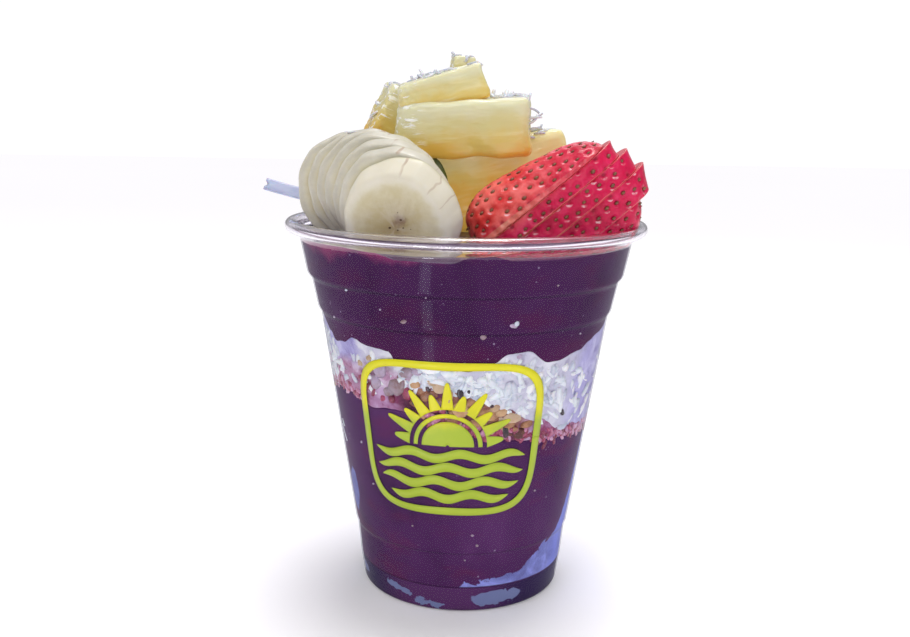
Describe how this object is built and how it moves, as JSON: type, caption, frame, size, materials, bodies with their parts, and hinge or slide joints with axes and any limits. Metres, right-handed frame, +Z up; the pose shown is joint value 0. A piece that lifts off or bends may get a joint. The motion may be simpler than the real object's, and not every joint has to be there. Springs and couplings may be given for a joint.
{
  "type": "acai bowl",
  "caption": "Layered acai with granola and milk powder in a clear plastic cup, topped with banana slices, fanned strawberry, pineapple chunks and coconut.",
  "frame": {"origin": "centre of the cup's flat base, on the surface it stands on", "axes": "+Z up, front of the cup towards -Y, strawberry on the +X side"},
  "size_m": [0.1058, 0.0964, 0.1444],
  "materials": {
    "clear_plastic": "clear, glossy thermoformed PET, with a printed design in lime and yellow on the front",
    "acai": "smooth frozen acai, dark purple, satin against the wall",
    "granola": "toasted oat clusters, brown, rough",
    "milk_powder": "milk powder with shredded coconut, cream white to lavender",
    "banana_flesh": "moist banana flesh, cream, satin",
    "strawberry_skin": "wet strawberry skin, red, glossy, pitted with seeds",
    "pineapple_flesh": "wet pineapple flesh, pale yellow, glossy and fibrous",
    "leaf": "dark olive green leaf",
    "coconut": "shredded coconut, translucent white"
  },
  "bodies": {
    "root": {"banana_1": "banana_flesh", "banana_2": "banana_flesh", "banana_3": "banana_flesh", "banana_4": "banana_flesh", "banana_5": "banana_flesh", "banana_6": "banana_flesh", "banana_7": "banana_flesh", "strawberry_1": "strawberry_skin", "strawberry_2": "strawberry_skin", "strawberry_3": "strawberry_skin", "strawberry_4": "strawberry_skin", "strawberry_5": "strawberry_skin", "pineapple_low": "pineapple_flesh", "pineapple_base": "pineapple_flesh", "pineapple_middle": "pineapple_flesh", "pineapple_left": "pineapple_flesh", "pineapple_top": "pineapple_flesh", "pineapple_tip": "pineapple_flesh", "green_leaf": "leaf", "coconut_flake": "coconut", "cup": "clear_plastic", "acai_bottom": "acai", "granola_layer": "granola", "milk_coconut_layer": "milk_powder", "acai_top": "acai"}
  },
  "joints": []
}
